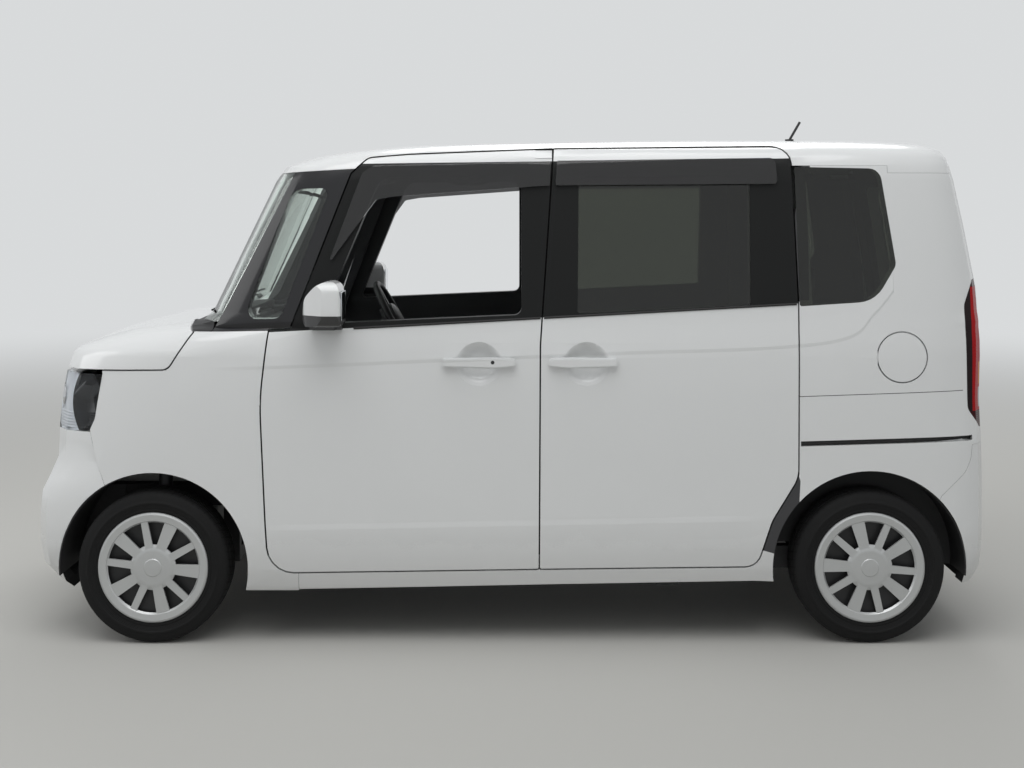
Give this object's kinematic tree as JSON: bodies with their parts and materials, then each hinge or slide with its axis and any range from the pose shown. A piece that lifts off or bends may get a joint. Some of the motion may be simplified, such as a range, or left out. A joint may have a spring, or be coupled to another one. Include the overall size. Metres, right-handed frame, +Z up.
{
  "type": "kei car",
  "caption": "Small boxy car with hinged front doors, fixed sliding rear doors, opening hood, tailgate and fuel lid, steered front wheels and free-turning road wheels.",
  "frame": {"origin": "on the ground under the middle of the car's box", "axes": "+X forward, +Y to the car's left, +Z up"},
  "size_m": [3.395, 1.8372, 1.8781],
  "materials": {
    "white_paint": "gloss",
    "black_gloss": "gloss",
    "smoked_plastic": "gloss",
    "black_plastic": "textured",
    "clear_glass": "polished",
    "dark_glass": "polished",
    "lamp_lens": "clear",
    "red_lens": "clear",
    "grey_plastic": "satin",
    "cabin_plastic": "grained",
    "seat_fabric": "woven",
    "primed_steel": "matt",
    "cast_alloy": "rough",
    "bare_steel": "dull",
    "tyre_rubber": "matt",
    "wheel_steel": "satin",
    "silver_plastic": "metallic"
  },
  "bodies": {
    "body": {"floor_pan": "primed_steel", "wheel_liners": "black_plastic", "engine_block": "cast_alloy", "dashboard": "cabin_plastic", "body_sides": "white_paint", "door_stops": "black_plastic", "front_pillars": "black_gloss", "front_fenders": "white_paint", "roof": "white_paint", "cowl": "black_plastic", "windscreen": "clear_glass", "front_quarter_glass": "clear_glass", "rear_quarter_glass": "dark_glass", "front_bumper": "white_paint", "grille": "grey_plastic", "headlamps": "lamp_lens", "rear_bumper": "white_paint", "tail_lamps": "red_lens", "sliding_doors": "white_paint", "sliding_door_glass": "dark_glass", "sliding_door_visors": "smoked_plastic", "sliding_door_handles": "white_paint", "antenna": "black_plastic", "front_seats": "seat_fabric", "rear_seat": "seat_fabric", "front_subframe": "primed_steel", "rear_axle": "primed_steel", "fuel_tank": "primed_steel", "exhaust": "bare_steel"},
    "door_left": {"front_door_left": "white_paint", "front_door_visor_left": "smoked_plastic", "front_door_handle_left": "white_paint", "door_mirror_left": "white_paint"},
    "door_right": {"front_door_right": "white_paint", "front_door_visor_right": "smoked_plastic", "front_door_handle_right": "white_paint", "door_mirror_right": "white_paint"},
    "hood_panel": {"hood": "white_paint"},
    "rear_gate": {"tailgate": "white_paint", "tailgate_glass": "dark_glass"},
    "lid": {"fuel_lid": "white_paint"},
    "steering": {"steering_wheel": "cabin_plastic"},
    "knuckle_left": {"front_knuckle_left": "bare_steel"},
    "knuckle_right": {"front_knuckle_right": "bare_steel"},
    "road_wheel_front_left": {"tyre_front_left": "tyre_rubber", "wheel_front_left": "wheel_steel", "cover_front_left": "silver_plastic"},
    "road_wheel_front_right": {"tyre_front_right": "tyre_rubber", "wheel_front_right": "wheel_steel", "cover_front_right": "silver_plastic"},
    "road_wheel_rear_left": {"tyre_rear_left": "tyre_rubber", "wheel_rear_left": "wheel_steel", "cover_rear_left": "silver_plastic"},
    "road_wheel_rear_right": {"tyre_rear_right": "tyre_rubber", "wheel_rear_right": "wheel_steel", "cover_rear_right": "silver_plastic"}
  },
  "joints": [
    {"name": "steer", "type": "hinge", "parent": "body", "child": "steering", "pos_m": [0.5105, -0.34, 1.04], "axis": [-0.8829, 0, 0.4695], "range_deg": [-630, 630]},
    {"name": "kingpin_left", "type": "hinge", "parent": "body", "child": "knuckle_left", "pos_m": [1.2505, 0.6265, 0.15], "axis": [0, -0.1512, 0.9885], "range_deg": [-35, 35]},
    {"name": "kingpin_right", "type": "hinge", "parent": "body", "child": "knuckle_right", "pos_m": [1.2505, -0.6265, 0.15], "axis": [0, 0.1512, 0.9885], "range_deg": [-35, 35]},
    {"name": "roll_front_left", "type": "hinge", "parent": "knuckle_left", "child": "road_wheel_front_left", "pos_m": [1.2505, 0.6525, 0.268], "axis": [0, 1, 0], "continuous": true},
    {"name": "roll_front_right", "type": "hinge", "parent": "knuckle_right", "child": "road_wheel_front_right", "pos_m": [1.2505, -0.6525, 0.268], "axis": [0, 1, 0], "continuous": true},
    {"name": "roll_rear_left", "type": "hinge", "parent": "body", "child": "road_wheel_rear_left", "pos_m": [-1.2695, 0.6525, 0.268], "axis": [0, 1, 0], "continuous": true},
    {"name": "roll_rear_right", "type": "hinge", "parent": "body", "child": "road_wheel_rear_right", "pos_m": [-1.2695, -0.6525, 0.268], "axis": [0, 1, 0], "continuous": true},
    {"name": "door_hinge_left", "type": "hinge", "parent": "body", "child": "door_left", "pos_m": [0.8709, 0.736, 0.7], "axis": [0, 0, -1], "range_deg": [0, 66]},
    {"name": "door_hinge_right", "type": "hinge", "parent": "body", "child": "door_right", "pos_m": [0.8709, -0.736, 0.7], "axis": [0, 0, 1], "range_deg": [0, 66]},
    {"name": "hood_hinge", "type": "hinge", "parent": "body", "child": "hood_panel", "pos_m": [1.157, 0, 1.1185], "axis": [0, -1, 0], "range_deg": [0, 65]},
    {"name": "tailgate_hinge", "type": "hinge", "parent": "body", "child": "rear_gate", "pos_m": [-1.6015, 0, 1.704], "axis": [0, 1, 0], "range_deg": [0, 80]},
    {"name": "fuel_hinge", "type": "hinge", "parent": "body", "child": "lid", "pos_m": [-1.293, 0.73341, 1.008], "axis": [0, 0, -1], "range_deg": [0, 95]}
  ],
  "couplings": [
    {"joint": "kingpin_left", "follows": "steer", "ratio": 0.055556},
    {"joint": "kingpin_right", "follows": "steer", "ratio": 0.055556}
  ]
}
